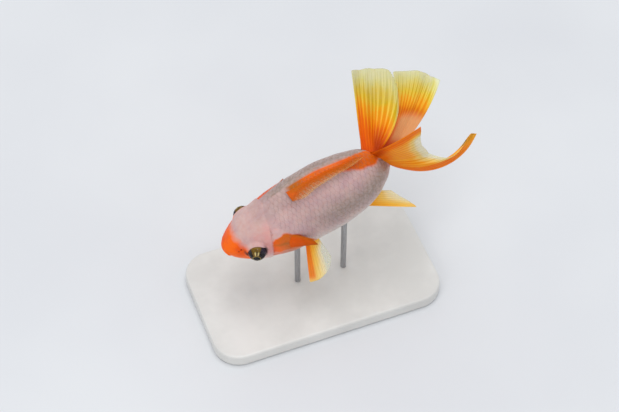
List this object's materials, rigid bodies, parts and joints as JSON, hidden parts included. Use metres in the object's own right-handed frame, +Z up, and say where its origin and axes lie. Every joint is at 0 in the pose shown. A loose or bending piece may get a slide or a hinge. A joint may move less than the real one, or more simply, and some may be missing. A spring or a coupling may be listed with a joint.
{
  "type": "fantail goldfish",
  "caption": "Life-size still goldfish with a twin tail, nose-down swimming pose, held over a flat base by two short rods.",
  "frame": {"origin": "centre of the stand base's underside, on the surface it stands on", "axes": "+Z up, head towards -X, tail towards +X, the fish's left side towards -Y"},
  "size_m": [0.099, 0.0535, 0.0817],
  "materials": {
    "flesh": "wet, pearly scaled skin, pinkish white with orange markings",
    "eye": "clear wet cornea over a golden iris with black patches",
    "fin_orange": "thin wet rayed fin, orange fading to clear at the tips",
    "fin_amber": "thin wet rayed fin, amber fading to clear",
    "stand": "satin pale plate with a softened rim",
    "rod": "fine brushed"
  },
  "bodies": {
    "root": {"head": "flesh", "jaw": "flesh", "gill_cover_left": "flesh", "gill_cover_right": "flesh", "trunk": "flesh", "tail_stalk": "flesh", "eye_left": "eye", "eye_right": "eye", "dorsal_fin": "fin_orange", "anal_fin": "fin_amber", "pectoral_fin_left": "fin_orange", "pectoral_fin_right": "fin_orange", "pelvic_fin_left": "fin_amber", "pelvic_fin_right": "fin_amber", "tail_fin_left_upper": "fin_orange", "tail_fin_left_lower": "fin_orange", "tail_fin_right_upper": "fin_orange", "tail_fin_right_lower": "fin_orange", "stand_base": "stand", "stand_rod_front": "rod", "stand_rod_rear": "rod"}
  },
  "joints": []
}
